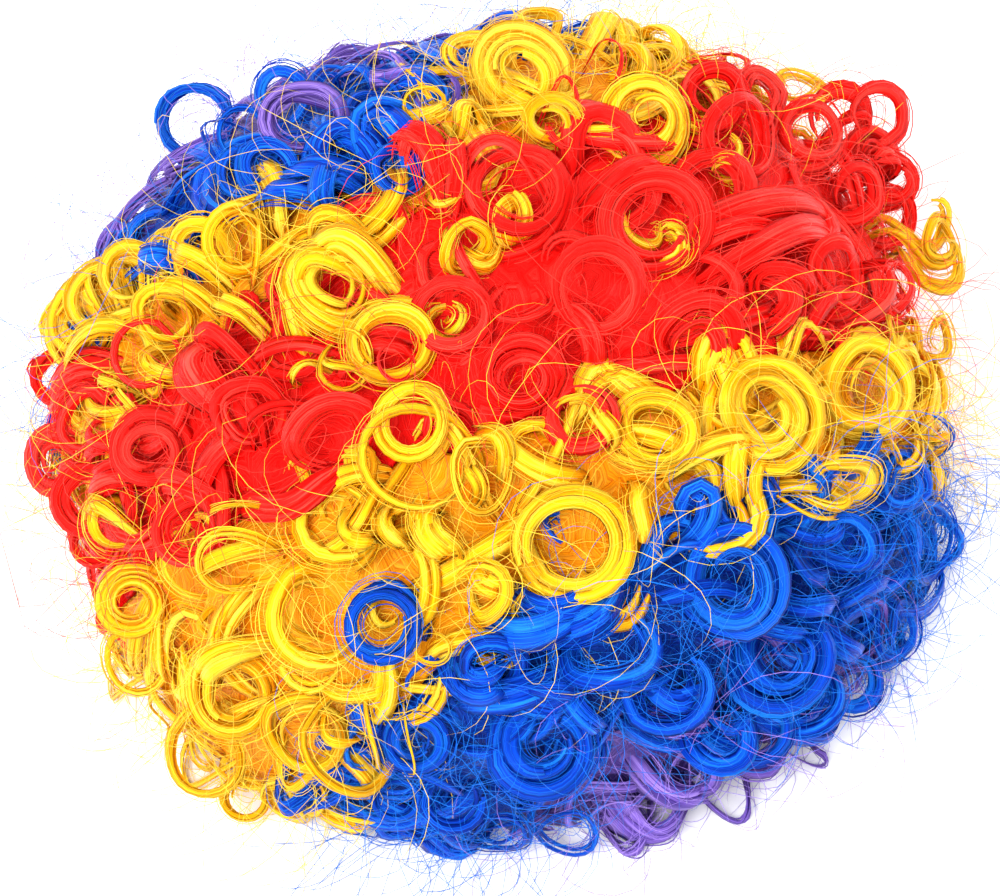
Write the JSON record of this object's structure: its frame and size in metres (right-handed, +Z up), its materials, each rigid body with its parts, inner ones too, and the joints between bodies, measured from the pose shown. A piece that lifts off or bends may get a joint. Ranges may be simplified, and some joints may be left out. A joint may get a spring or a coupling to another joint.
{
  "type": "pet wig",
  "caption": "Short curly synthetic wig for a small pet: a dome of ringlets in mirrored purple, blue, yellow and red stripes on an open stretch net cap.",
  "frame": {"origin": "middle of the wig's outline, on the surface that it rests on", "axes": "+Z up; +X along the stripes, to the right as seen from the front; -Y is the front edge"},
  "size_m": [0.2374, 0.2198, 0.1039],
  "materials": {
    "net_cloth": "matt stretch net",
    "red_hair": "satin synthetic hair",
    "yellow_hair": "satin synthetic hair",
    "blue_hair": "satin synthetic hair",
    "purple_hair": "satin synthetic hair"
  },
  "bodies": {
    "root": {"cap": "net_cloth", "hair_red_crown": "red_hair", "hair_yellow_front": "yellow_hair", "hair_yellow_back": "yellow_hair", "hair_blue_front": "blue_hair", "hair_blue_back": "blue_hair", "hair_purple_front": "purple_hair", "hair_purple_back": "purple_hair"}
  },
  "joints": []
}
